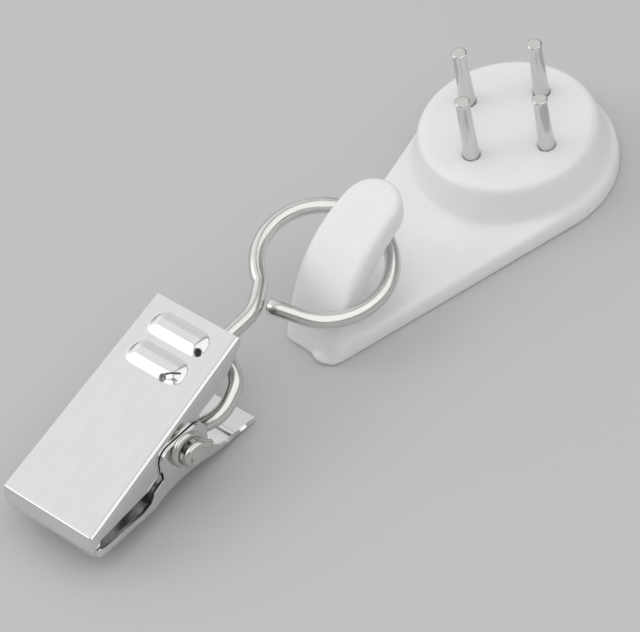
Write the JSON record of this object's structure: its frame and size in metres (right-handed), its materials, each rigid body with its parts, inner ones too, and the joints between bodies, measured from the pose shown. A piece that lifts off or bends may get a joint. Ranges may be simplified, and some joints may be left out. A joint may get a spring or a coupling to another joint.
{
  "type": "wall hook with spring clip",
  "caption": "White plastic hard-wall hook with steel pins, holding a nickel-plated spring clip on a bent wire ring.",
  "frame": {"origin": "centre of the round head on the wall hook's flat back face", "axes": "+Z out of the wall, along the pins; +Y up the wall, from the tail to the round head; +X to the right"},
  "size_m": [0.02, 0.068, 0.0129],
  "materials": {
    "white_plastic": "semi-gloss moulded",
    "nickel_sheet": "bright nickel plate on stamped sheet",
    "nickel_wire": "bright nickel plate on drawn wire",
    "pin_steel": "bright steel"
  },
  "bodies": {
    "hook": {"hook_body": "white_plastic"},
    "left_pin": {"pin_left": "pin_steel"},
    "top_pin": {"pin_top": "pin_steel"},
    "bottom_pin": {"pin_bottom": "pin_steel"},
    "right_pin": {"pin_right": "pin_steel"},
    "wire": {"wire_hook": "nickel_wire"},
    "clip_upper": {"upper_jaw": "nickel_sheet", "pivot_pin": "nickel_wire", "spring_right": "nickel_wire"},
    "clip_lower": {"lower_jaw": "nickel_sheet"}
  },
  "joints": [
    {"name": "left_pin_drive", "type": "slide", "parent": "hook", "child": "left_pin", "axis": [0, 0, -1], "range_m": [0, 0.0063]},
    {"name": "top_pin_drive", "type": "slide", "parent": "hook", "child": "top_pin", "axis": [0, 0, -1], "range_m": [0, 0.0062]},
    {"name": "bottom_pin_drive", "type": "slide", "parent": "hook", "child": "bottom_pin", "axis": [0, 0, -1], "range_m": [0, 0.0069]},
    {"name": "right_pin_drive", "type": "slide", "parent": "hook", "child": "right_pin", "axis": [0, 0, -1], "range_m": [0, 0.006]},
    {"name": "ring_swing", "type": "hinge", "parent": "hook", "child": "wire", "pos_m": [-0.00126, -0.02316, 0.007], "axis": [0, 0, 1], "range_deg": [-12, 30]},
    {"name": "clip_swing", "type": "hinge", "parent": "wire", "child": "clip_upper", "pos_m": [-0.00333, -0.04534, 0.00536], "axis": [0.9982, 0.0598, 0], "range_deg": [-3, 3]},
    {"name": "jaw_open", "type": "hinge", "parent": "clip_upper", "child": "clip_lower", "pos_m": [-0.00333, -0.04534, 0.00536], "axis": [0.9982, 0.0598, 0], "range_deg": [0, 17], "stiffness_Nm_per_rad": 0.002, "springref_deg": -28.65, "deforming": ["spring_right"]}
  ]
}
